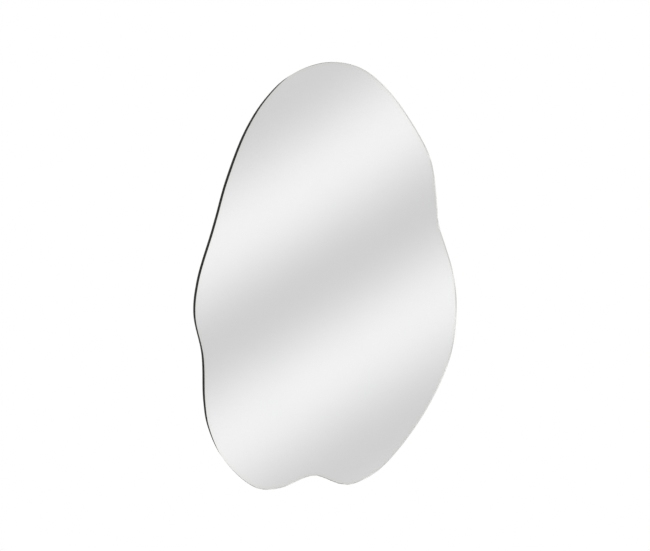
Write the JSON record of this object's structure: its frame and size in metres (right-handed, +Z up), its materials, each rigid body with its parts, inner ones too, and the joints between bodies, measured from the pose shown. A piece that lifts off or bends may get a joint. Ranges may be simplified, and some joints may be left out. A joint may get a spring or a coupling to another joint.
{
  "type": "wall mirror",
  "caption": "Frameless wall mirror with an irregular pebble-like outline: a glass pane bonded to a black backing board, hung on strap hangers with swinging D rings.",
  "frame": {"origin": "in the plane of the wall, behind the middle of the box round the outline", "axes": "+X to the right and +Z up for a person looking at the glass; the glass faces -Y and the wall is on the +Y side"},
  "size_m": [0.6, 0.0292, 0.9],
  "materials": {
    "silvered_glass": "silvered float glass with a flat polished edge",
    "safety_film": "woven polyethylene safety film",
    "foam_tape": "closed-cell foam tape",
    "mirror_adhesive": "cured mirror adhesive",
    "lacquered_board": "medium-density fibreboard, black lacquer, satin",
    "zinc_steel": "zinc-plated steel, bright",
    "bumper_rubber": "moulded rubber, matt"
  },
  "bodies": {
    "panel": {"mirror_glass": "silvered_glass", "safety_film": "safety_film", "foam_tape_1": "foam_tape", "foam_tape_2": "foam_tape", "foam_tape_3": "foam_tape", "foam_tape_4": "foam_tape", "foam_tape_5": "foam_tape", "adhesive_bead_1": "mirror_adhesive", "adhesive_bead_2": "mirror_adhesive", "adhesive_bead_3": "mirror_adhesive", "adhesive_bead_4": "mirror_adhesive", "backing_board": "lacquered_board", "bumper_top_left": "bumper_rubber", "bumper_top_right": "bumper_rubber", "bumper_bottom_left": "bumper_rubber", "bumper_bottom_right": "bumper_rubber", "hanger_strap_left": "zinc_steel", "hanger_screw_left_upper": "zinc_steel", "hanger_screw_left_lower": "zinc_steel", "hanger_strap_right": "zinc_steel", "hanger_screw_right_upper": "zinc_steel", "hanger_screw_right_lower": "zinc_steel"},
    "left_ring": {"d_ring_left": "zinc_steel"},
    "right_ring": {"d_ring_right": "zinc_steel"}
  },
  "joints": [
    {"name": "left_ring_swing", "type": "hinge", "parent": "panel", "child": "left_ring", "pos_m": [-0.15473, -0.0034, 0.25], "axis": [-1, 0, 0], "range_deg": [0, 179]},
    {"name": "right_ring_swing", "type": "hinge", "parent": "panel", "child": "right_ring", "pos_m": [0.14527, -0.0034, 0.25], "axis": [-1, 0, 0], "range_deg": [0, 179]}
  ]
}
